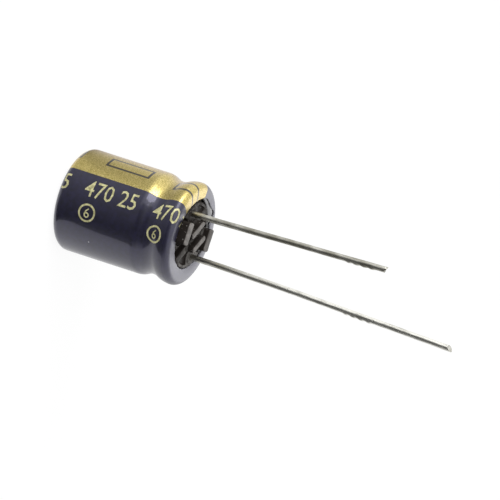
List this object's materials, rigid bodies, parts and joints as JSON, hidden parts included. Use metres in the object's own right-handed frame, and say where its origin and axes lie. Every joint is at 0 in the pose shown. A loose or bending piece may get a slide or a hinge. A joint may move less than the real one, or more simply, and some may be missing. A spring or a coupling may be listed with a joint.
{
  "type": "electrolytic capacitor",
  "caption": "Radial aluminium electrolytic capacitor: grooved can in a dark sleeve with a gold polarity stripe, moulded rubber bung and wire leads of unequal length.",
  "frame": {"origin": "centre of the closed end, in the plane it stands on", "axes": "+Z along the can's axis, from the closed end to the leads; +X from the negative lead to the positive lead"},
  "size_m": [0.0104, 0.0104, 0.0416],
  "materials": {
    "sleeve_film": "glossy shrink film, near-black navy",
    "can_aluminium": "drawn, satin",
    "bung_rubber": "moulded, matt",
    "tinned_wire": "bright tinned",
    "tab_aluminium": "plain",
    "roll_paper": "paper and foil turns, soaked",
    "tape_film": "thin adhesive tape"
  },
  "bodies": {
    "root": {"sleeve": "sleeve_film", "can": "can_aluminium", "rubber_bung": "bung_rubber", "positive_lead": "tinned_wire", "negative_lead": "tinned_wire", "positive_tab": "tab_aluminium", "negative_tab": "tab_aluminium", "wound_element": "roll_paper", "fixing_tape": "tape_film"}
  },
  "joints": []
}
